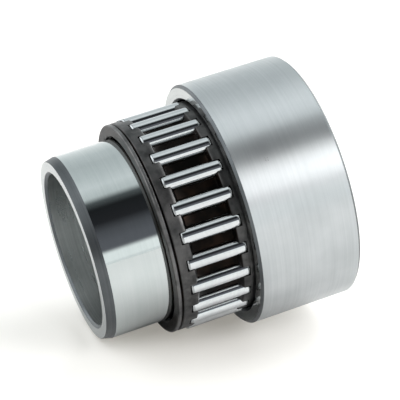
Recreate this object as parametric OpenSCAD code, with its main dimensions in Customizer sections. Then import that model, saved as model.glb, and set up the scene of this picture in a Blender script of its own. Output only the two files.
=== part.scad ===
// Separable needle roller bearing without ribs, drawn apart along its axis.
// The bearing axis is X. The origin is the centre of the outer ring.
// The cage and the inner ring stand out of the outer ring towards -X.

/* [Boundary sizes] */
// Bore of the inner ring, which seats on the shaft
shaft_d = 25; // [22:0.5:26.5]
// Outside diameter of the outer ring, which seats in the housing
housing_d = 40; // [38:0.5:50]
// Width of the inner and outer rings
ring_w = 17; // [14.5:0.5:24]
// Outside diameter of the inner ring, which is the inner raceway
inner_race_d = 30; // [28:0.5:30.5]

/* [Needle rollers] */
// Diameter of one needle roller
needle_d = 2.5; // [2:0.1:2.8]
// Number of needle rollers round the cage
needle_count = 24; // [16:1:26]
// Radius of the rounded edge at each end of a needle roller
needle_edge_r = 0.35; // [0.1:0.05:0.6]
// Gap between a needle roller and each raceway
race_gap = 0.025; // [0.02:0.005:0.05]

/* [Cage] */
// Width of the cage between its two end faces
cage_w = 12.7; // [11.5:0.1:14.5]
// Width of the solid rim at each end of the cage
rim_w = 1.4; // [1.2:0.1:2]
// Length of the full-height shoulder of a cage bar beside each rim
shoulder_w = 1; // [0.6:0.1:1.5]
// Length of the slope between a shoulder and the sunk middle of a bar
slope_w = 0.7; // [0.4:0.1:1.2]
// Gap between the cage and the inner raceway
cage_bore_gap = 0.35; // [0.25:0.05:0.5]
// Gap between the cage and the outer raceway
cage_top_gap = 0.3; // [0.2:0.05:0.5]
// How far the middle of a bar is sunk below the rims
bar_sink = 1; // [0.4:0.1:1.1]
// Gap between a needle roller and the walls of its pocket
pocket_gap = 0.07; // [0.05:0.01:0.1]
// Bevel on the edges of the cage rims
cage_bevel = 0.2; // [0.1:0.05:0.35]

/* [Guide rings] */
// Thickness of each loose guide ring beside the cage
guide_w = 0.75; // [0.5:0.05:1]
// Gap between a guide ring and the cage rim
guide_gap = 0.12; // [0.08:0.02:0.2]
// Bevel on the edges of a guide ring
guide_bevel = 0.18; // [0.1:0.02:0.22]

/* [Ring edges] */
// Chamfer on the edges of the rings that meet the shaft and the housing
seat_chamfer = 0.4; // [0.3:0.05:0.8]
// Bevel on the bore edges of the outer ring, beside its raceway
race_chamfer = 0.35; // [0.2:0.05:0.6]
// Length of the lead-in at each end of the inner raceway, which guides the rollers on
lead_w = 1.5; // [0.5:0.1:2]
// How far the lead-in drops below the inner raceway
lead_drop = 0.4; // [0.2:0.05:0.6]

/* [How far it is drawn apart] */
// How far the cage assembly is drawn out of the outer ring
cage_draw = 14; // [0:0.5:14.5]
// How far the inner ring is drawn out of the cage assembly
inner_draw = 9.6; // [0:0.1:12]

/* [Hidden] */
$fn = 96;

shaft_r = shaft_d / 2;
housing_r = housing_d / 2;
inner_race_r = inner_race_d / 2;
needle_r = needle_d / 2;
pitch_r = inner_race_r + race_gap + needle_r;
outer_race_r = pitch_r + needle_r + race_gap;

cage_bore_r = inner_race_r + cage_bore_gap;
cage_top_r = outer_race_r - cage_top_gap;
cage_bar_r = cage_top_r - bar_sink;
pocket_r = needle_r + pocket_gap;
window_w = cage_w - 2 * rim_w;
needle_l = window_w - 2 * pocket_gap;
bar_flat_w = window_w - 2 * (shoulder_w + slope_w);
guide_x = cage_w / 2 + guide_gap;

cage_x = -cage_draw;
inner_x = cage_x - inner_draw;

// Turns a profile of [place along the axis, radius] points into a ring round the X axis.
module ring_on_x(profile) {
    rotate([0, 90, 0])
        rotate_extrude()
            polygon([for (p = profile) [p[1], p[0]]]);
}

// Profile of a plain ring, with a bevel on its inner edges and one on its outer edges.
// The inner bevel is as long as it is deep; the outer one has its own length and drop.
function bevelled_ring(width, inner_r, outer_r, inner_bevel, outer_w, outer_drop) = [
    [-width / 2, inner_r + inner_bevel],
    [-width / 2 + inner_bevel, inner_r],
    [width / 2 - inner_bevel, inner_r],
    [width / 2, inner_r + inner_bevel],
    [width / 2, outer_r - outer_drop],
    [width / 2 - outer_w, outer_r],
    [-width / 2 + outer_w, outer_r],
    [-width / 2, outer_r - outer_drop]
];

module outer_ring() {
    color("#c9ccca")
        ring_on_x(bevelled_ring(ring_w, outer_race_r, housing_r, race_chamfer, seat_chamfer, seat_chamfer));
}

module inner_ring() {
    color("#b9bfbd")
        translate([inner_x, 0, 0])
            ring_on_x(bevelled_ring(ring_w, shaft_r, inner_race_r, seat_chamfer, lead_w, lead_drop));
}

// One half of the cage's outer profile, from the middle of a bar to the end face.
function cage_top_side(side) = [
    [side * bar_flat_w / 2, cage_bar_r],
    [side * (bar_flat_w / 2 + slope_w), cage_top_r],
    [side * (cage_w / 2 - cage_bevel), cage_top_r],
    [side * cage_w / 2, cage_top_r - cage_bevel]
];

// Full ring of the cage before its pockets are cut, with bars sunk between the rims.
module cage_blank() {
    bore = [
        [-cage_w / 2, cage_bore_r + cage_bevel],
        [-cage_w / 2 + cage_bevel, cage_bore_r],
        [cage_w / 2 - cage_bevel, cage_bore_r],
        [cage_w / 2, cage_bore_r + cage_bevel]
    ];
    right = cage_top_side(1);
    left = cage_top_side(-1);
    ring_on_x(concat(bore, [for (i = [3:-1:0]) right[i]], left));
}

// Places a shape at the middle of needle roller number i, its length along X.
module at_needle(i) {
    rotate([(i - 1) * 360 / needle_count, 0, 0])
        translate([cage_x, 0, pitch_r])
            children();
}

module cage() {
    color("#3a3430")
        difference() {
            translate([cage_x, 0, 0]) cage_blank();
            for (i = [1:needle_count])
                at_needle(i)
                    rotate([0, 90, 0])
                        cylinder(r = pocket_r, h = window_w, center = true);
        }
}

// A guide ring on one side of the cage: -1 is the front, towards the inner ring.
module guide_ring(side) {
    color("#5a5450")
        translate([cage_x + side * (guide_x + guide_w / 2), 0, 0])
            ring_on_x(bevelled_ring(guide_w, cage_bore_r, cage_top_r, guide_bevel, guide_bevel, guide_bevel));
}

module front_guide_ring() {
    guide_ring(-1);
}

module rear_guide_ring() {
    guide_ring(1);
}

// Quarter-round edge at one end of a needle roller's profile.
function needle_end(side) = [
    for (a = [0:15:90]) [
        side * (needle_l / 2 - needle_edge_r + needle_edge_r * sin(a)),
        needle_r - needle_edge_r + needle_edge_r * cos(a)
    ]
];

module needle_roller(i) {
    left = needle_end(-1);
    right = needle_end(1);
    axis_ends = [[-needle_l / 2, 0], [needle_l / 2, 0]];
    color("#d8dadb")
        at_needle(i)
            ring_on_x(concat(axis_ends, [for (k = [6:-1:0]) right[k]], left));
}

outer_ring();
inner_ring();
cage();
front_guide_ring();
rear_guide_ring();
for (i = [1:needle_count])
    needle_roller(i);
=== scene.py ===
"""Needle roller bearing without ribs, drawn apart along its axis, resting on a pale table.

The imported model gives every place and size. Each visible piece is a surface worked out here, with rounded
edges and a finish for each ground, lapped, turned or blackened stretch of it, and rides on the body that it
belongs to. The bearing axis is X, and the model is in metres.
"""

import logging
import math
from dataclasses import dataclass
from enum import Enum

import bpy
import numpy as np
from mathutils import Matrix, Vector


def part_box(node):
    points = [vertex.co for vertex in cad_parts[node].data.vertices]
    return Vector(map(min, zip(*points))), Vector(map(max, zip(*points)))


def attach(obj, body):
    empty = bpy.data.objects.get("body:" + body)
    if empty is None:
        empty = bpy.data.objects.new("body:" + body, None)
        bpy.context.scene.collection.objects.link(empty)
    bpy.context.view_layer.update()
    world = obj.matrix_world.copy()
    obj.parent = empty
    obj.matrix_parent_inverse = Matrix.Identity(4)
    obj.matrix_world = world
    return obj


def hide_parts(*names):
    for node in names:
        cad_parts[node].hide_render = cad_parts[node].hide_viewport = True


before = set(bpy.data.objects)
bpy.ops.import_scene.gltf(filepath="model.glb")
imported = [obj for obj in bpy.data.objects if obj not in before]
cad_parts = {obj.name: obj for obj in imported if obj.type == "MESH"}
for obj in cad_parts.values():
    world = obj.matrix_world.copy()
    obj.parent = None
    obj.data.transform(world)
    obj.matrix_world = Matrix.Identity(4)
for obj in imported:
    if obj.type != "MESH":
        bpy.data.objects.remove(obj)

MM = 0.001
WELD_WITHIN = 0.0001 * MM
QUARTER_TURN = 0.25
log = logging.getLogger("bearing")


class Side(Enum):
    """The two ends of a piece along the bearing axis."""

    FRONT = -1.0
    REAR = 1.0


class Stretch(Enum):
    """What a stretch of a ring's profile is, which decides its finish."""

    OUTSIDE = 0
    FACE = 1
    EDGE = 2
    BORE = 3


# ---------------------------------------------------------------- colour and nodes


def linear(hex_colour: str) -> tuple[float, float, float, float]:
    """Turns an sRGB hex colour into linear red, green, blue and alpha.

    Args:
        hex_colour: six hex digits, such as "c9ccca".

    Returns:
        The linear colour, with alpha 1.
    """
    parts = [int(hex_colour[i : i + 2], 16) / 255 for i in (0, 2, 4)]
    flat = [c / 12.92 if c <= 0.04045 else ((c + 0.055) / 1.055) ** 2.4 for c in parts]
    return flat[0], flat[1], flat[2], 1.0


def add_node(tree: bpy.types.NodeTree, kind: str, settings: dict | None = None,
             **links: object) -> bpy.types.Node:
    """Adds one node, with its settings and its inputs.

    Args:
        tree: the node tree to add to.
        kind: Blender's name for the node type.
        settings: attributes of the node, such as its operation.
        **links: input name, with _ for a space, or in0, in1 for a place in the list of inputs. Its value is
            an output socket to link, a node whose first output is linked, or a plain value to set.

    Returns:
        The new node.
    """
    node = tree.nodes.new(kind)
    for key, value in (settings or {}).items():
        setattr(node, key, value)
    for key, value in links.items():
        by_place = key.startswith("in") and key[2:].isdigit()
        socket = node.inputs[int(key[2:])] if by_place else node.inputs[key.replace("_", " ")]
        if isinstance(value, bpy.types.Node):
            value = value.outputs[0]
        if isinstance(value, bpy.types.NodeSocket):
            tree.links.new(value, socket)
        else:
            socket.default_value = value
    return node


def new_material(name: str) -> tuple[bpy.types.Material, bpy.types.NodeTree]:
    """Makes a material with an empty node tree.

    Args:
        name: the material's name.

    Returns:
        The material and its node tree.
    """
    material = bpy.data.materials.new(name)
    material.use_nodes = True
    material.node_tree.nodes.clear()
    return material, material.node_tree


def axis_distance(tree: bpy.types.NodeTree, place: bpy.types.NodeSocket) -> bpy.types.NodeSocket:
    """Works out the distance from the bearing axis, which is the length of (0, y, z).

    Args:
        tree: the node tree to add to.
        place: the place in the bearing's own coordinates.

    Returns:
        The distance, in metres.
    """
    off_axis = add_node(tree, "ShaderNodeVectorMath", {"operation": "MULTIPLY"}, in0=place, in1=(0, 1, 1))
    return add_node(tree, "ShaderNodeVectorMath", {"operation": "LENGTH"}, in0=off_axis).outputs["Value"]


# ---------------------------------------------------------------- surfaces


@dataclass
class Surface:
    """A mesh as plain arrays: points, four-sided faces, three-sided faces and a stretch for each face."""

    points: np.ndarray
    quads: np.ndarray
    triangles: np.ndarray
    quad_stretch: np.ndarray
    triangle_stretch: np.ndarray

    def welded(self, within: float) -> "Surface":
        """Joins points that stand at the same place.

        Args:
            within: the grid that places are rounded to, in metres.

        Returns:
            The same surface with each place held once.
        """
        keys = np.round(self.points / within).astype(np.int64)
        _, first, back = np.unique(keys, axis=0, return_index=True, return_inverse=True)
        back = back.reshape(-1)
        return Surface(self.points[first], back[self.quads], back[self.triangles],
                       self.quad_stretch, self.triangle_stretch)

    @staticmethod
    def joined(parts: list["Surface"]) -> "Surface":
        """Puts several surfaces into one.

        Args:
            parts: the surfaces, each with its own points.

        Returns:
            One surface that holds them all.
        """
        starts = np.cumsum([0] + [len(p.points) for p in parts[:-1]])
        return Surface(
            np.concatenate([p.points for p in parts]),
            np.concatenate([p.quads + s for p, s in zip(parts, starts)]),
            np.concatenate([p.triangles + s for p, s in zip(parts, starts)]),
            np.concatenate([p.quad_stretch for p in parts]),
            np.concatenate([p.triangle_stretch for p in parts]),
        )


NO_TRIANGLES = np.zeros((0, 3), int)
NO_STRETCH = np.zeros(0, int)


def grid_surface(points: np.ndarray, close_rows: bool = False, close_columns: bool = False,
                 flip: bool = False, stretch: np.ndarray | int = 0) -> Surface:
    """Turns a grid of points into a surface of four-sided faces between neighbours.

    Args:
        points: the grid, rows by columns by 3.
        close_rows: whether the last row joins the first.
        close_columns: whether the last column joins the first.
        flip: whether the faces turn the other way.
        stretch: the stretch of each row of faces, or one for all.

    Returns:
        The surface.
    """
    rows, columns = points.shape[:2]
    index = np.arange(rows * columns).reshape(rows, columns)
    if close_rows:
        index = np.vstack([index, index[:1]])
    if close_columns:
        index = np.hstack([index, index[:, :1]])
    corners = [index[:-1, :-1], index[:-1, 1:], index[1:, 1:], index[1:, :-1]]
    quads = np.stack(corners[::-1] if flip else corners, -1)
    by_face = np.broadcast_to(np.asarray(stretch).reshape(-1, 1), quads.shape[:2]).reshape(-1).copy()
    return Surface(points.reshape(-1, 3), quads.reshape(-1, 4), NO_TRIANGLES, by_face, NO_STRETCH)


def around_x(along: np.ndarray, radius: np.ndarray, angle: np.ndarray) -> np.ndarray:
    """Places points by cylinder coordinates about X: (x, -r sin a, r cos a), so angle 0 is straight up.

    Args:
        along: place along X.
        radius: distance from the axis.
        angle: angle about X, in radians.

    Returns:
        The points, in the arrays' common shape by 3.
    """
    along, radius, angle = np.broadcast_arrays(along, radius, angle)
    return np.stack([along, -radius * np.sin(angle), radius * np.cos(angle)], -1)


@dataclass(frozen=True)
class Corner:
    """One corner of a profile: its place along the axis, its radius, how round it is and what follows it."""

    along: float
    radius: float
    rounding: float
    then: Stretch


@dataclass(frozen=True)
class Profile:
    """A closed outline of (along, radius) corners, each rounded by an arc."""

    corners: tuple[Corner, ...]
    arc_steps: int = 4
    guard: float = 0.03 * MM

    def outline(self) -> tuple[np.ndarray, np.ndarray]:
        """Works out the outline's points, with an arc for each corner.

        At a corner with sides at half-angle h, an arc of radius q touches both sides at q / tan h from the
        corner, and its centre is q / sin h from the corner along the line that halves the angle. A guard
        point stands just outside each end of the arc, so that the flat stretches shade flat.

        Returns:
            The points, n by 2, and the stretch of the segment that follows each point.
        """
        place = np.array([[c.along, c.radius] for c in self.corners])
        before, after = np.roll(place, 1, 0) - place, np.roll(place, -1, 0) - place
        before /= np.linalg.norm(before, axis=1, keepdims=True)
        after /= np.linalg.norm(after, axis=1, keepdims=True)
        half = np.arccos(np.clip((before * after).sum(1), -1, 1)) / 2
        rounding = np.array([c.rounding for c in self.corners])
        middle = before + after
        middle /= np.linalg.norm(middle, axis=1, keepdims=True)
        centre = place + middle * (rounding / np.sin(half))[:, None]
        reach = (rounding / np.tan(half))[:, None]
        start, end = place + before * reach, place + after * reach
        first = np.arctan2(*(start - centre).T[::-1])
        swing = (np.arctan2(*(end - centre).T[::-1]) - first + np.pi) % (2 * np.pi) - np.pi
        share = np.linspace(0, 1, self.arc_steps + 1)
        angle = first[:, None] + swing[:, None] * share
        arcs = centre[:, None] + rounding[:, None, None] * np.stack([np.cos(angle), np.sin(angle)], -1)
        lead, tail = (start + before * self.guard)[:, None], (end + after * self.guard)[:, None]
        points = np.concatenate([lead, arcs, tail], 1)
        then = np.array([c.then.value for c in self.corners])
        own = np.full((len(place), points.shape[1]), Stretch.EDGE.value)
        own[:, -1] = then
        own[:, -2] = then
        own[:, 0] = np.roll(then, 1)
        return points.reshape(-1, 2), own.reshape(-1)


def ring_surface(profile: Profile, steps: int) -> Surface:
    """Turns a closed profile about X: every outline point makes a circle, and neighbours are joined.

    Args:
        profile: the section of the ring.
        steps: how many steps the circle takes.

    Returns:
        A closed surface with faces that point outwards.
    """
    outline, stretch = profile.outline()
    angle = np.arange(steps) * (2 * np.pi / steps)
    points = around_x(outline[:, :1], outline[:, 1:], angle[None])
    return grid_surface(points, close_rows=True, close_columns=True, stretch=stretch)


def make_piece(name: str, surface: Surface, finishes: dict[int, bpy.types.Material]) -> bpy.types.Object:
    """Puts a surface into a Blender object with a material for each stretch.

    Args:
        name: the piece's name.
        surface: its points and faces.
        finishes: stretch number to material.

    Returns:
        The object, at the origin, with its place in its mesh.
    """
    mesh = bpy.data.meshes.new(name)
    four, three = surface.quads, surface.triangles
    loops = np.concatenate([four.reshape(-1), three.reshape(-1)]).astype(np.int32)
    sizes = np.concatenate([np.full(len(four), 4), np.full(len(three), 3)])
    starts = np.concatenate([[0], np.cumsum(sizes)[:-1]]).astype(np.int32)
    mesh.vertices.add(len(surface.points))
    mesh.vertices.foreach_set("co", surface.points.astype(np.float32).reshape(-1))
    mesh.loops.add(len(loops))
    mesh.loops.foreach_set("vertex_index", loops)
    mesh.polygons.add(len(sizes))
    mesh.polygons.foreach_set("loop_start", starts)
    order = sorted(finishes)
    for key in order:
        mesh.materials.append(finishes[key])
    by_face = np.concatenate([surface.quad_stretch, surface.triangle_stretch])
    slots = np.searchsorted(order, by_face).astype(np.int32)
    mesh.polygons.foreach_set("material_index", slots)
    mesh.polygons.foreach_set("use_smooth", np.ones(len(sizes), bool))
    mesh.update(calc_edges=True)
    mesh.validate()
    piece = bpy.data.objects.new(name, mesh)
    bpy.context.scene.collection.objects.link(piece)
    return piece


# ---------------------------------------------------------------- finishes


@dataclass(frozen=True)
class Steel:
    """Hardened bearing steel whose surface was cut in lines that run round the axis.

    Ground and lapped steel is a bright, slightly cool grey. The lines stretch a reflection along the axis,
    and a thin uneven oil film makes it a little cloudy. Real lines are a few hundredths of a millimetre
    apart and the film's grain is finer still. Both are too fine to show, so they are drawn some tenths of a
    millimetre wide.

    Attributes:
        colour: the steel where the film is thin.
        shade: the steel where the film is thick.
        uneven: how far the roughness goes up and down.
        line_pitch: the distance between the lines.
        line_depth: their depth.
        stretch_along: how far reflections are stretched along the axis, from 0 to 1.
        line_run: how far a line runs before it changes, across Y or Z.
        film_patch: how wide the patches of the film are.
        film_grain: how wide its grain is.
        line_share: how much of the cloudiness follows the lines; the film gives the rest.
        grain_share: how high the grain is against the lines.
    """

    name: str
    colour: str
    shade: str
    roughness: float
    uneven: float
    line_pitch: float
    line_depth: float
    stretch_along: float = 0.0
    line_run: float = 25 * MM
    film_patch: float = 5.88 * MM
    film_grain: float = 0.667 * MM
    line_share: float = 0.4
    grain_share: float = 0.25

    def lines(self, tree: bpy.types.NodeTree, place: bpy.types.NodeSocket) -> bpy.types.Node:
        """Draws the lines.

        Distance along the profile is x + r, so the lines are rings on a cylinder and circles on an end face.

        Args:
            tree: the node tree to add to.
            place: the place in the bearing's own coordinates.

        Returns:
            The noise node that draws them.
        """
        x, y, z = add_node(tree, "ShaderNodeSeparateXYZ", Vector=place).outputs
        along = add_node(tree, "ShaderNodeMath", {"operation": "ADD"}, in0=x, in1=axis_distance(tree, place))
        turned = add_node(tree, "ShaderNodeCombineXYZ", X=along, Y=y, Z=z)
        line_size = (self.line_pitch, self.line_run, self.line_run)
        in_lines = add_node(tree, "ShaderNodeVectorMath", {"operation": "DIVIDE"}, in0=turned, in1=line_size)
        return add_node(tree, "ShaderNodeTexNoise", Vector=in_lines, Scale=1.0, Detail=1.5, Roughness=0.5)

    def material(self) -> bpy.types.Material:
        """Builds the material: lines under a cloudy film, whose tone and roughness go up and down together.

        Returns:
            The finished material.
        """
        material, tree = new_material(self.name)
        place = add_node(tree, "ShaderNodeTexCoord").outputs["Object"]
        lines = self.lines(tree, place)
        film = add_node(tree, "ShaderNodeTexNoise", Vector=place, Scale=1 / self.film_patch, Detail=4.0,
                        Roughness=0.55)
        grain = add_node(tree, "ShaderNodeTexNoise", Vector=place, Scale=1 / self.film_grain, Detail=2.0,
                         Roughness=0.6)
        cloud = add_node(tree, "ShaderNodeMix", in0=self.line_share, in2=film, in3=lines)
        rough = add_node(tree, "ShaderNodeMapRange", Value=cloud, From_Min=0.3, From_Max=0.7,
                         To_Min=self.roughness - self.uneven, To_Max=self.roughness + self.uneven)
        thick = add_node(tree, "ShaderNodeMapRange", Value=cloud, From_Min=0.35, From_Max=0.65)
        tint = add_node(tree, "ShaderNodeMix", {"data_type": "RGBA"}, in0=thick, in6=linear(self.colour),
                        in7=linear(self.shade)).outputs[2]
        relief = add_node(tree, "ShaderNodeMath", {"operation": "MULTIPLY_ADD"}, in0=grain,
                          in1=self.grain_share, in2=lines)
        bump = add_node(tree, "ShaderNodeBump", Strength=1.0, Distance=self.line_depth, Height=relief)
        shader = add_node(tree, "ShaderNodeBsdfPrincipled", Base_Color=tint, Metallic=1.0, Roughness=rough,
                          Normal=bump, Anisotropic=self.stretch_along, Anisotropic_Rotation=QUARTER_TURN)
        if self.stretch_along:
            turn = add_node(tree, "ShaderNodeTangent", {"direction_type": "RADIAL", "axis": "X"})
            tree.links.new(turn.outputs[0], shader.inputs["Tangent"])
        add_node(tree, "ShaderNodeOutputMaterial", Surface=shader)
        return material


@dataclass(frozen=True)
class BlackenedSteel:
    """Cage steel under a black phosphate coat, oiled, and rubbed to grey where it guides on a raceway.

    The coat is a fine crystal layer, near black with a brown cast, half matt. Where the rims rub, bare grey
    metal shows through it in patches. Real crystals are about a hundredth of a millimetre wide, too fine to
    show, so they are drawn ten times as wide.

    Attributes:
        rub_from: the distance from the axis at which rubbing starts.
        rub_to: the distance at which it is strongest.
        rub_most: how much bare metal shows there, from 0 to 1.
        crystal_size: how wide the crystals are drawn.
        crystal_height: how high they stand.
        cloud_size: how wide the brown clouds and the rubbed patches are.
        smoothed_by_rubbing: how much roughness rubbing takes away.
    """

    name: str
    coat: str
    rust_cast: str
    bare: str
    rub_from: float
    rub_to: float
    rub_most: float
    crystal_size: float = 0.12 * MM
    crystal_height: float = 0.012 * MM
    cloud_size: float = 2.38 * MM
    smoothed_by_rubbing: float = 0.14

    def material(self) -> bpy.types.Material:
        """Builds the material: the coat, a brown cast in clouds, and bare metal at the rubbing radius.

        Returns:
            The finished material.
        """
        material, tree = new_material(self.name)
        place = add_node(tree, "ShaderNodeTexCoord").outputs["Object"]
        crystals = add_node(tree, "ShaderNodeTexNoise", Vector=place, Scale=1 / self.crystal_size, Detail=3.0,
                            Roughness=0.65)
        clouds = add_node(tree, "ShaderNodeTexNoise", Vector=place, Scale=1 / self.cloud_size, Detail=3.0,
                          Roughness=0.6)
        brown = add_node(tree, "ShaderNodeMapRange", Value=clouds, From_Min=0.4, From_Max=0.65)
        coat = add_node(tree, "ShaderNodeMix", {"data_type": "RGBA"}, in0=brown, in6=linear(self.coat),
                        in7=linear(self.rust_cast)).outputs[2]
        at_rim = add_node(tree, "ShaderNodeMapRange", Value=axis_distance(tree, place),
                          From_Min=self.rub_from, From_Max=self.rub_to, To_Max=self.rub_most)
        patchy = add_node(tree, "ShaderNodeMapRange", Value=clouds, From_Min=0.3, From_Max=0.6, To_Min=0.35)
        rubbed = add_node(tree, "ShaderNodeMath", {"operation": "MULTIPLY"}, in0=at_rim, in1=patchy)
        colour = add_node(tree, "ShaderNodeMix", {"data_type": "RGBA"}, in0=rubbed, in6=coat,
                          in7=linear(self.bare)).outputs[2]
        coat_rough = add_node(tree, "ShaderNodeMapRange", Value=crystals, From_Min=0.3, From_Max=0.7,
                              To_Min=0.34, To_Max=0.5)
        rough = add_node(tree, "ShaderNodeMath", {"operation": "MULTIPLY_ADD"}, in0=rubbed,
                         in1=-self.smoothed_by_rubbing, in2=coat_rough)
        bump = add_node(tree, "ShaderNodeBump", Strength=0.5, Distance=self.crystal_height, Height=crystals)
        shader = add_node(tree, "ShaderNodeBsdfPrincipled", Base_Color=colour, Metallic=1.0, Roughness=rough,
                          Normal=bump)
        add_node(tree, "ShaderNodeOutputMaterial", Surface=shader)
        return material


# Cylindrical grinding leaves fine rings, so reflections run into long soft bands along the axis.
GROUND_SEAT = Steel("ring steel, ground housing seat", "c6c9ca", "b8bcbd", roughness=0.31, uneven=0.04,
                    line_pitch=0.3 * MM, line_depth=0.003 * MM, stretch_along=0.8)

# Lapping leaves an end face nearly smooth, so it shows one clear tone that changes all at once.
LAPPED_FACE = Steel("ring steel, lapped end face", "c6c8c6", "b6b9b8", roughness=0.13, uneven=0.03,
                    line_pitch=0.25 * MM, line_depth=0.002 * MM)

# The chamfers were turned before hardening and keep their grey scale, so they outline each ring darkly.
TURNED_EDGE = Steel("ring steel, turned chamfer under hardening scale", "66696b", "505355", roughness=0.36,
                    uneven=0.05, line_pitch=0.12 * MM, line_depth=0.006 * MM)

# Superfinishing makes a raceway a mirror, so the dark card shows in it as a band with sharp edges.
RACEWAY = Steel("ring steel, superfinished raceway", "cdd2d1", "c4cac9", roughness=0.07, uneven=0.02,
                line_pitch=0.3 * MM, line_depth=0.0005 * MM)

# Internal grinding leaves the bore duller than the outside, with patches of light and grey.
GROUND_BORE = Steel("ring steel, ground bore", "d2d5d4", "a9acab", roughness=0.3, uneven=0.08,
                    line_pitch=0.25 * MM, line_depth=0.004 * MM, stretch_along=0.4)

# Lapped needles are bright, so each carries a thin white streak between two dark ones.
NEEDLE = Steel("needle roller steel, lapped", "dcdedf", "d0d3d4", roughness=0.1, uneven=0.02,
               line_pitch=0.3 * MM, line_depth=0.0006 * MM)

# Tumbling rounds a needle's ends and leaves them satin, so they are a soft grey.
NEEDLE_END = Steel("needle roller steel, tumbled end", "b8babb", "a4a7a8", roughness=0.26, uneven=0.04,
                   line_pitch=0.2 * MM, line_depth=0.003 * MM)


# ---------------------------------------------------------------- pieces


@dataclass(frozen=True)
class RingSize:
    """The ends and radii of a CAD node that is a ring about the bearing axis."""

    front: float
    rear: float
    inner: float
    outer: float

    @classmethod
    def of(cls, node: str) -> "RingSize":
        """Reads a node's ends from its box and its radii from its points.

        Args:
            node: the CAD node's name.

        Returns:
            Its size.
        """
        low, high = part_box(node)
        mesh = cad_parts[node].data
        flat = np.empty(len(mesh.vertices) * 3, np.float32)
        mesh.vertices.foreach_get("co", flat)
        from_axis = np.hypot(*flat.reshape(-1, 3).T[1:])
        return cls(low.x, high.x, float(from_axis.min()), float(from_axis.max()))


@dataclass
class PlainRing:
    """The outer or the inner ring: a plain hardened ring with chamfered, slightly rounded edges."""

    node: str
    body: str
    slot: str
    outside_bevel: tuple[float, float]
    bore_bevel: float
    outside: Steel
    bore: Steel
    edge_rounding: float = 0.07 * MM
    steps: int = 288

    def profile(self) -> Profile:
        """Gives the ring's section: four straight sides, a bevel at each corner, each edge rounded.

        Returns:
            The section, from the front end of the bore round to the front face.
        """
        size = RingSize.of(self.node)
        rounding, bevel = self.edge_rounding, self.bore_bevel
        length, drop = self.outside_bevel
        return Profile((
            Corner(size.front + bevel, size.inner, rounding, Stretch.BORE),
            Corner(size.rear - bevel, size.inner, rounding, Stretch.EDGE),
            Corner(size.rear, size.inner + bevel, rounding, Stretch.FACE),
            Corner(size.rear, size.outer - drop, rounding, Stretch.EDGE),
            Corner(size.rear - length, size.outer, rounding, Stretch.OUTSIDE),
            Corner(size.front + length, size.outer, rounding, Stretch.EDGE),
            Corner(size.front, size.outer - drop, rounding, Stretch.FACE),
            Corner(size.front, size.inner + bevel, rounding, Stretch.EDGE),
        ))

    def dress(self) -> dict[int, bpy.types.Material]:
        """Makes the ring's four materials, one for each kind of stretch.

        Returns:
            Stretch number to material.
        """
        return {
            Stretch.OUTSIDE.value: self.outside.material(),
            Stretch.FACE.value: LAPPED_FACE.material(),
            Stretch.EDGE.value: TURNED_EDGE.material(),
            Stretch.BORE.value: self.bore.material(),
        }

    def build(self) -> bpy.types.Object:
        """Makes the ring, dresses it and puts it in place of its CAD node.

        Returns:
            The piece.
        """
        surface = ring_surface(self.profile(), self.steps)
        piece = make_piece(self.node + "_surface", surface, self.dress())
        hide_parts(self.node)
        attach(piece, self.body)
        log.info("%s rides on %s", piece.name, self.body)
        return piece


@dataclass
class GuideRing:
    """A thin loose ring beside the cage, blackened, with its edges rubbed bright."""

    node: str
    slot: str
    finish: BlackenedSteel
    bevel: float = 0.18 * MM
    edge_rounding: float = 0.06 * MM
    steps: int = 240

    def profile(self) -> Profile:
        """Gives the ring's section: four straight sides, the same bevel at each corner, each edge rounded.

        Returns:
            The section, from the front end of the bore round to the front face.
        """
        size, bevel = RingSize.of(self.node), self.bevel
        places = (
            (size.front + bevel, size.inner),
            (size.rear - bevel, size.inner),
            (size.rear, size.inner + bevel),
            (size.rear, size.outer - bevel),
            (size.rear - bevel, size.outer),
            (size.front + bevel, size.outer),
            (size.front, size.outer - bevel),
            (size.front, size.inner + bevel),
        )
        return Profile(tuple(Corner(*place, self.edge_rounding, Stretch.EDGE) for place in places))

    def dress(self) -> dict[int, bpy.types.Material]:
        """Makes the one material that the whole ring has, under its stretch number."""
        return {Stretch.EDGE.value: self.finish.material()}

    def build(self) -> bpy.types.Object:
        """Makes the guide ring, dresses it and puts it in place of its CAD node.

        Returns:
            The piece.
        """
        surface = ring_surface(self.profile(), self.steps)
        piece = make_piece(self.node + "_surface", surface, self.dress())
        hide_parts(self.node)
        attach(piece, self.node)
        log.info("%s rides on %s", piece.name, self.node)
        return piece


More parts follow.
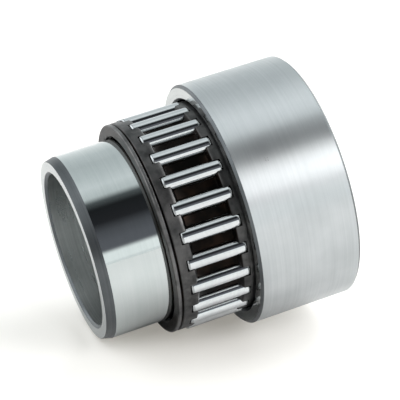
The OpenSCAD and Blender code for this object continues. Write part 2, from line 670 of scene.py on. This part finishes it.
@dataclass
class NeedleRollers:
    """The needle rollers: ground cylinders with rounded edges and faintly domed ends, one piece each."""

    slot: str = "needle_steel"
    edge_round: float = 0.35 * MM
    dome: float = 0.04 * MM
    guard: float = 0.2 * MM
    steps: int = 48
    arc_steps: int = 8
    dome_steps: int = 3

    def nodes(self) -> list[str]:
        """Lists the needle rollers' CAD nodes in order."""
        return sorted(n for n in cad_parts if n.startswith("needle_roller_"))

    def surface(self, node: str) -> Surface:
        """Works out one roller: its half profile turned about its own axis.

        The half profile runs from the pole of one end, out along a dome that is nearly flat, round a quarter
        circle, and along the side; the other half mirrors it. A guard row stands just past each quarter
        circle, so that the side shades flat. Each pole is one point.

        Args:
            node: the roller's CAD node.

        Returns:
            A closed surface about the roller's own axis, which runs along X.
        """
        low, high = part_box(node)
        middle, half = (low + high) / 2, (high.x - low.x) / 2
        radius = (high.z - low.z) / 2
        edge, flat_radius = self.edge_round, radius - self.edge_round
        flat = np.linspace(0, 1, self.dome_steps + 1)[1:-1] * flat_radius
        dome = half - self.dome * (flat / flat_radius) ** 2
        turn = np.linspace(0, np.pi / 2, self.arc_steps + 1)
        corner_along = half - self.dome - edge + edge * np.cos(turn)
        corner_radius = flat_radius + edge * np.sin(turn)
        along = np.concatenate([dome, corner_along, [corner_along[-1] - self.guard]])
        out = np.concatenate([flat, corner_radius, [radius]])
        along = np.concatenate([-along, along[::-1]])
        out = np.concatenate([out, out[::-1]])
        angle = np.arange(self.steps) * (2 * np.pi / self.steps)
        points = around_x(along[:, None], out[:, None], angle[None])
        tube = grid_surface(points, close_columns=True)
        rows = len(along)
        ends = len(flat) + self.arc_steps
        by_row = np.full(rows - 1, Stretch.OUTSIDE.value)
        by_row[:ends] = Stretch.FACE.value
        by_row[rows - 1 - ends :] = Stretch.FACE.value
        tube.quad_stretch = np.repeat(by_row, self.steps)
        ring = np.arange(self.steps)
        after = np.roll(ring, -1)
        last = (rows - 1) * self.steps
        poles = np.array([[-half, 0, 0], [half, 0, 0]])
        first_pole = rows * self.steps
        caps = np.concatenate([
            np.stack([np.full_like(ring, first_pole), after, ring], -1),
            np.stack([np.full_like(ring, first_pole + 1), last + ring, last + after], -1),
        ])
        all_points = np.concatenate([tube.points, poles]) + np.array(middle)
        cap_stretch = np.full(len(caps), Stretch.FACE.value)
        return Surface(all_points, tube.quads, caps, tube.quad_stretch, cap_stretch)

    def dress(self) -> dict[int, bpy.types.Material]:
        """Makes the two materials that all rollers share, under their stretch numbers."""
        return {Stretch.OUTSIDE.value: NEEDLE.material(), Stretch.FACE.value: NEEDLE_END.material()}

    def build(self) -> list[bpy.types.Object]:
        """Makes every roller, dresses it and puts it in place of its CAD node.

        Returns:
            The pieces, in the order of their nodes.
        """
        finishes = self.dress()
        pieces = []
        for node in self.nodes():
            piece = make_piece(node + "_surface", self.surface(node), finishes)
            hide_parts(node)
            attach(piece, node)
            log.info("%s rides on %s", piece.name, node)
            pieces.append(piece)
        return pieces


@dataclass
class Cage:
    """The window cage: two rims joined by bars, whose middles are sunk, with round-walled pockets between."""

    finish: BlackenedSteel
    node: str = "cage"
    slot: str = "blackened_cage_steel"
    rim_width: float = 1.4 * MM
    shoulder: float = 1.0 * MM
    slope: float = 0.7 * MM
    sink: float = 1.0 * MM
    pocket_gap: float = 0.07 * MM
    bevel: float = 0.2 * MM
    edge_soft: float = 0.07 * MM
    soft_steps: int = 2
    soft_from_degrees: float = 35.0
    guard: float = 0.1 * MM
    slope_steps: int = 6
    bar_columns: int = 5
    wall_rows: int = 7
    window_columns: int = 4

    def __post_init__(self) -> None:
        """Reads the cage's size, and the rollers' number, radius and circle, from the frame.

        The first roller stands straight above the axis, so its height is the radius of the rollers' circle.
        """
        self.size = RingSize.of(self.node)
        rollers = NeedleRollers().nodes()
        low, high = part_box(rollers[0])
        self.count = len(rollers)
        self.pitch_radius = (low.z + high.z) / 2
        self.pocket_radius = (high.z - low.z) / 2 + self.pocket_gap
        self.middle = (self.size.front + self.size.rear) / 2
        self.half_window = (self.size.rear - self.size.front) / 2 - self.rim_width

    def wall_angle(self, radius: np.ndarray) -> np.ndarray:
        """Gives where the pocket wall is at a radius, as an angle about the roller's axis.

        Angle 0 is straight outwards. A point of the wall at angle w is sqrt(p2 + c2 + 2 p c cos w) from the
        bearing axis, with p the pocket's radius and c the roller circle's, and this is that formula solved
        for w.

        Args:
            radius: distance from the bearing axis.

        Returns:
            The angle w, in radians.
        """
        pocket, circle = self.pocket_radius, self.pitch_radius
        return np.arccos(np.clip((radius**2 - pocket**2 - circle**2) / (2 * pocket * circle), -1, 1))

    def wall_point(self, wall: np.ndarray) -> tuple[np.ndarray, np.ndarray]:
        """Gives the pocket wall at angles about the roller's axis.

        Args:
            wall: angles from straight outwards, in radians.

        Returns:
            The distance from the bearing axis, and the angle about it from the roller.
        """
        across = self.pocket_radius * np.sin(wall)
        out = self.pitch_radius + self.pocket_radius * np.cos(wall)
        return np.hypot(across, out), np.arctan2(across, out)

    def bar_stations(self) -> tuple[np.ndarray, np.ndarray]:
        """Gives places along a bar and its outer radius there.

        From each rim a bar runs at rim height, goes down a slope and is level and sunk in the middle. The
        slope follows half a cosine wave, so it leaves and meets the level stretches without a kink.

        Returns:
            The places from the window's middle, and the outer radii.
        """
        top = self.size.outer
        share = np.linspace(0, 1, self.slope_steps + 1)
        outer_end = self.half_window - self.shoulder
        inner_end = outer_end - self.slope
        down = outer_end - share * self.slope
        height = top - self.sink * (1 - np.cos(np.pi * share)) / 2
        on_shoulder = [self.half_window, outer_end + self.shoulder / 2]
        right_along = np.concatenate([on_shoulder, down, [inner_end / 2]])
        right_height = np.concatenate([[top, top], height, [top - self.sink]])
        along = np.concatenate([-right_along, [0.0], right_along[::-1]])
        return along, np.concatenate([right_height, [top - self.sink], right_height[::-1]])

    def bars(self) -> Surface:
        """Works out all bars: at each place along a bar its section is a closed loop.

        The loop runs up one pocket wall, over the top, down the other wall and back along the underside. The
        top and the underside are arcs about the bearing axis, and the walls are arcs about the two rollers.

        Returns:
            The surface of every bar, open at the two ends where it meets the rims.
        """
        along, top = self.bar_stations()
        step = 2 * np.pi / self.count
        low_wall = self.wall_angle(np.full_like(top, self.size.inner))
        high_wall = self.wall_angle(top)
        share = np.linspace(0, 1, self.wall_rows + 1)
        wall = high_wall[:, None] + (low_wall - high_wall)[:, None] * share
        wall_radius, wall_turn = self.wall_point(wall)
        across = np.linspace(0, 1, self.bar_columns + 1)[1:-1]
        top_turn = wall_turn[:, :1] + (step - 2 * wall_turn[:, :1]) * across
        low_turn = wall_turn[:, -1:] + (step - 2 * wall_turn[:, -1:]) * across
        turn = np.hstack([wall_turn[:, ::-1], top_turn, step - wall_turn, low_turn[:, ::-1]])
        radius = np.hstack([
            wall_radius[:, ::-1],
            np.repeat(wall_radius[:, :1], len(across), 1),
            wall_radius,
            np.repeat(wall_radius[:, -1:], len(across), 1),
        ])
        starts = np.arange(self.count)[:, None, None] * step
        loops = around_x(self.middle + along[None, :, None], radius[None], turn[None] + starts)
        return Surface.joined([grid_surface(loop, close_columns=True) for loop in loops])

    def rim(self, side: Side) -> Surface:
        """Works out a rim and its window ends.

        The rim's section is swept round in columns that start at the window's edge outside and end at its
        edge inside. Across each window the end wall is filled by arcs of the pocket wall's own radii.

        Args:
            side: which end of the cage.

        Returns:
            The rim's surface.
        """
        sign, step = side.value, 2 * np.pi / self.count
        inner, outer, bevel = self.size.inner, self.size.outer, self.bevel
        window, end = self.half_window, self.half_window + self.rim_width
        level = end - bevel
        section = np.array([
            [window, outer], [level - self.guard, outer], [level, outer], [end, outer - bevel],
            [end, outer - 2 * bevel], [end, inner + 2 * bevel], [end, inner + bevel], [level, inner],
            [level - self.guard, inner], [window, inner],
        ])
        wall = np.linspace(self.wall_angle(outer), self.wall_angle(inner), self.wall_rows + 1)
        wall_radius, wall_turn = self.wall_point(wall)
        in_window = np.linspace(-1, 1, self.window_columns + 1)
        on_bar = np.linspace(0, 1, self.bar_columns + 1)[1:-1]

        def columns(edge: float) -> np.ndarray:
            """Gives the angles of one pitch's columns when the window's edge is at this angle."""
            return np.concatenate([in_window * edge, edge + (step - 2 * edge) * on_bar])

        share = np.linspace(0, 1, len(section))[:, None]
        one = columns(wall_turn[0]) * (1 - share) + columns(wall_turn[-1]) * share
        starts = np.arange(self.count) * step
        turn = (one[:, None, :] + starts[None, :, None]).reshape(len(section), -1)
        swept = around_x(self.middle + sign * section[:, :1], section[:, 1:], turn)
        parts = [grid_surface(swept, close_columns=True, flip=sign < 0)]
        wall_turns = wall_turn[:, None] * in_window[None]
        end_wall = around_x(self.middle + sign * window, wall_radius[:, None], wall_turns)
        for start in starts:
            cos, sin = math.cos(start), math.sin(start)
            spin = np.array([[1, 0, 0], [0, cos, -sin], [0, sin, cos]])
            parts.append(grid_surface(end_wall @ spin.T, flip=sign > 0))
        return Surface.joined(parts)

    def dress(self) -> dict[int, bpy.types.Material]:
        """Makes the one material that the whole cage has, under its stretch number."""
        return {Stretch.OUTSIDE.value: self.finish.material()}

    def build(self) -> bpy.types.Object:
        """Makes the cage as one closed surface, softens its edges, dresses it and puts it in place.

        Returns:
            The piece.
        """
        parts = [self.bars(), self.rim(Side.FRONT), self.rim(Side.REAR)]
        surface = Surface.joined(parts).welded(WELD_WITHIN)
        piece = make_piece(self.node + "_surface", surface, self.dress())
        soft = piece.modifiers.new("soft edges", "BEVEL")
        soft.width = self.edge_soft
        soft.segments = self.soft_steps
        soft.limit_method = "ANGLE"
        soft.angle_limit = math.radians(self.soft_from_degrees)
        soft.harden_normals = True
        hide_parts(self.node)
        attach(piece, self.node)
        log.info("%s has %d pockets", piece.name, self.count)
        return piece


# ---------------------------------------------------------------- studio


@dataclass(frozen=True)
class FarLight:
    """A wide, far light: its name, where it stands, its watts per square metre, its width and its colour."""

    name: str
    towards: tuple[float, float, float]
    strength: float
    width_degrees: float
    colour: str

    def build(self) -> None:
        """Adds the light, turned so that it shines on the bearing."""
        light = bpy.data.lights.new(self.name, "SUN")
        light.energy = self.strength
        light.angle = math.radians(self.width_degrees)
        light.color = linear(self.colour)[:3]
        holder = bpy.data.objects.new(self.name, light)
        holder.rotation_euler = Vector(self.towards).to_track_quat("Z", "Y").to_euler()
        bpy.context.scene.collection.objects.link(holder)


@dataclass(frozen=True)
class Studio:
    """A pale table, a white tent with a dark side, two soft lights and the camera.

    The drawn-apart bearing rests on the front rims of the outer ring and the front guide ring, so the table
    leans against the bearing axis. Each tent band is an angle about the bearing axis, in degrees, and a
    colour: 0 is level towards the front of the table, 90 straight up and 180 level behind. The front is a
    dark card over a bright gap, the top is an open diffuser, and the back is white.

    Attributes:
        backdrop_lift: how much lighter the camera sees the table than the bearing does.
        card_middle: where the card's middle is along the bearing axis, as a part of a look direction.
        card_half: how far from there the card starts to end, and where it has ended.
        side_rise: the two angles between which the open sides go from dim to bright, in degrees.
        high_gain: how bright the open sides are higher up, against open_side.
        low_gain: how bright they are near the table.
        shot_width: how much of the scene the picture is wide, where the camera aims.
    """

    bands: tuple[tuple[float, str], ...] = (
        (0.0, "f6fbfb"), (10.0, "f6fbfb"), (14.5, "606268"), (24.0, "5e6066"), (36.0, "505257"),
        (47.0, "26272a"), (65.0, "1f2123"), (73.5, "54595b"), (80.0, "c6cdce"), (94.0, "d9dfe1"),
        (112.0, "c7ced0"), (132.0, "bec5c7"), (152.0, "c8cfd1"), (178.0, "e4e9ea"),
    )
    lights: tuple[FarLight, ...] = (
        FarLight("high right light", (0.86, 0.3, 0.42), 1.2, 40, "fdfeff"),
        FarLight("low right light", (0.7, -0.61, 0.38), 2.1, 36, "ffffff"),
    )
    table_half: float = 4.0
    table_colour: str = "dddbd9"
    table_roughness: float = 0.55
    backdrop_lift: float = 0.27
    lift_colour: str = "fff9ec"
    card_middle: float = 0.15
    card_half: tuple[float, float] = (0.33, 0.55)
    side_rise: tuple[float, float] = (20.0, 85.0)
    open_side: str = "eef2f4"
    high_gain: float = 1.9
    low_gain: float = 0.12
    tent_strength: float = 1.25
    film_width: float = 36.0
    near_limit: float = 10 * MM
    shot_direction: tuple[float, float, float] = (0.2467, 0.8682, -0.4306)
    shot_up: tuple[float, float, float] = (0.1863, 0.0, 0.9825)
    shot_distance: float = 300 * MM
    shot_width: float = 64.65 * MM
    aim: tuple[float, float, float] = (-9.3 * MM, 2.71 * MM, 0.13 * MM)

    def lean(self) -> float:
        """Gives the angle between the table and the bearing axis, from the two front rims that touch it."""
        outer, guide = RingSize.of("outer_ring"), RingSize.of("front_guide_ring")
        return math.atan2(outer.outer - guide.outer, outer.front - guide.front)

    def table(self) -> None:
        """Lays the table under the front rim of the outer ring.

        The camera sees the table a little lighter than the bearing does, so the shadows on it are pale. Its
        underside lets light and sight through.
        """
        lean = self.lean()
        along = Vector((math.cos(lean), 0, -math.sin(lean))) * self.table_half
        across = Vector((0, self.table_half, 0))
        outer = RingSize.of("outer_ring")
        touch = Vector((outer.front, 0, -outer.outer))
        corners = [along * a + across * b for a, b in ((-1, -1), (1, -1), (1, 1), (-1, 1))]
        mesh = bpy.data.meshes.new("table")
        mesh.from_pydata(corners, [], [(0, 1, 2, 3)])
        table = bpy.data.objects.new("table", mesh)
        table.location = touch
        bpy.context.scene.collection.objects.link(table)
        material, tree = new_material("table, matt white lacquer")
        seen = add_node(tree, "ShaderNodeLightPath").outputs["Is Camera Ray"]
        lift = add_node(tree, "ShaderNodeMath", {"operation": "MULTIPLY"}, in0=seen, in1=self.backdrop_lift)
        matt = add_node(tree, "ShaderNodeBsdfPrincipled", Base_Color=linear(self.table_colour),
                        Roughness=self.table_roughness, Emission_Color=linear(self.lift_colour),
                        Emission_Strength=lift)
        clear = add_node(tree, "ShaderNodeBsdfTransparent")
        under = add_node(tree, "ShaderNodeNewGeometry").outputs["Backfacing"]
        both = add_node(tree, "ShaderNodeMixShader", in0=under, in1=matt, in2=clear)
        add_node(tree, "ShaderNodeOutputMaterial", Surface=both)
        mesh.materials.append(material)

    def card(self, tree: bpy.types.NodeTree, turn: bpy.types.Node) -> bpy.types.Node:
        """Spreads the bands' colours round the bearing axis.

        Args:
            tree: the node tree to add to.
            turn: the node that gives the angle about the axis, as a part of a full turn.

        Returns:
            The colour ramp node.
        """
        ramp = add_node(tree, "ShaderNodeValToRGB", Fac=turn)
        stops = ramp.color_ramp.elements
        already_there = len(stops)
        for i, (degrees, colour) in enumerate(self.bands):
            stop = stops[i] if i < already_there else stops.new(degrees / 360)
            stop.position = degrees / 360
            stop.color = linear(colour)
        return ramp

    def tent(self) -> None:
        """Surrounds the bearing with soft light that depends mostly on the angle about the bearing axis.

        Past the two ends of the card the tent is open, dim near the table and bright higher up. The camera
        sees the whole tent as white.
        """
        world = bpy.data.worlds.new("tent")
        bpy.context.scene.world = world
        world.use_nodes = True
        tree = world.node_tree
        tree.nodes.clear()
        look = add_node(tree, "ShaderNodeTexCoord").outputs["Generated"]
        x, y, z = add_node(tree, "ShaderNodeSeparateXYZ", Vector=look).outputs
        forward = add_node(tree, "ShaderNodeMath", {"operation": "MULTIPLY"}, in0=y, in1=-1.0)
        angle = add_node(tree, "ShaderNodeMath", {"operation": "ARCTAN2"}, in0=z, in1=forward)
        turns = add_node(tree, "ShaderNodeMath", {"operation": "DIVIDE"}, in0=angle, in1=2 * math.pi)
        turn = add_node(tree, "ShaderNodeMath", {"operation": "FRACT"}, in0=turns)
        card = self.card(tree, turn)
        aside = add_node(tree, "ShaderNodeMath", {"operation": "SUBTRACT"}, in0=x, in1=self.card_middle)
        from_middle = add_node(tree, "ShaderNodeMath", {"operation": "ABSOLUTE"}, in0=aside)
        past_card = add_node(tree, "ShaderNodeMapRange", Value=from_middle, From_Min=self.card_half[0],
                             From_Max=self.card_half[1])
        rise = add_node(tree, "ShaderNodeMapRange", Value=turn, From_Min=self.side_rise[0] / 360,
                        From_Max=self.side_rise[1] / 360)
        low, high = ([c * gain for c in linear(self.open_side)[:3]] + [1.0]
                     for gain in (self.low_gain, self.high_gain))
        open_side = add_node(tree, "ShaderNodeMix", {"data_type": "RGBA"}, in0=rise, in6=low,
                             in7=high).outputs[2]
        light = add_node(tree, "ShaderNodeMix", {"data_type": "RGBA"}, in0=past_card, in6=card,
                         in7=open_side).outputs[2]
        seen = add_node(tree, "ShaderNodeLightPath").outputs["Is Camera Ray"]
        colour = add_node(tree, "ShaderNodeMix", {"data_type": "RGBA"}, in0=seen, in6=light,
                          in7=linear("ffffff")).outputs[2]
        glow = add_node(tree, "ShaderNodeBackground", Color=colour, Strength=self.tent_strength)
        add_node(tree, "ShaderNodeOutputWorld", Surface=glow)

    def camera(self) -> None:
        """Sets the camera, turned to the drawn-out end of the bearing and looking down on it."""
        forward = Vector(self.shot_direction).normalized()
        right = forward.cross(Vector(self.shot_up)).normalized()
        rise = right.cross(forward)
        place = Vector(self.aim) - forward * self.shot_distance
        lens = bpy.data.cameras.new("shot")
        lens.sensor_width = self.film_width
        lens.lens = lens.sensor_width * self.shot_distance / self.shot_width
        lens.clip_start = self.near_limit
        camera = bpy.data.objects.new("shot", lens)
        turned = Matrix((right, rise, -forward)).transposed().to_4x4()
        camera.matrix_world = Matrix.Translation(place) @ turned
        bpy.context.scene.collection.objects.link(camera)
        bpy.context.scene.camera = camera

    def build(self) -> None:
        """Sets up the camera, the table, the tent and the lights."""
        bpy.context.scene.view_settings.view_transform = "Standard"
        self.camera()
        self.table()
        self.tent()
        for light in self.lights:
            light.build()
        log.info("studio is set")


# ---------------------------------------------------------------- the whole bearing


def cage_finish(cage_top: float) -> BlackenedSteel:
    """Gives the cage's finish, rubbed only on the outside of the rims.

    Args:
        cage_top: the outer radius of the cage.

    Returns:
        The finish.
    """
    return BlackenedSteel("cage steel, black phosphated", coat="0e0d0c", rust_cast="1d1612", bare="8a8a8a",
                          rub_from=cage_top - 0.12 * MM, rub_to=cage_top, rub_most=0.36)


def guide_finish(cage_top: float) -> BlackenedSteel:
    """Gives the guide rings' finish, rubbed further down and brighter than the cage's.

    Args:
        cage_top: the outer radius of the guide rings, which is the cage's.

    Returns:
        The finish.
    """
    return BlackenedSteel("guide ring steel, black phosphated and rubbed", coat="1a1716", rust_cast="28211c",
                          bare="8f8f8f", rub_from=cage_top - 0.25 * MM, rub_to=cage_top, rub_most=0.55)


def main() -> None:
    """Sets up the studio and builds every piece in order."""
    logging.basicConfig(level=logging.INFO, format="%(name)s: %(message)s")
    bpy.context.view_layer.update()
    Studio().build()
    PlainRing("outer_ring", "outer_ring", "ground_ring_steel", outside_bevel=(0.4 * MM, 0.4 * MM),
              bore_bevel=0.35 * MM, outside=GROUND_SEAT, bore=RACEWAY).build()
    PlainRing("inner_ring", "inner_ring", "polished_ring_steel", outside_bevel=(1.5 * MM, 0.4 * MM),
              bore_bevel=0.4 * MM, outside=RACEWAY, bore=GROUND_BORE).build()
    cage_top = RingSize.of("cage").outer
    Cage(cage_finish(cage_top)).build()
    rubbed = guide_finish(cage_top)
    for side in ("front", "rear"):
        GuideRing(side + "_guide_ring", "guide_ring_steel", rubbed).build()
    NeedleRollers().build()


if __name__ == "__main__":
    main()
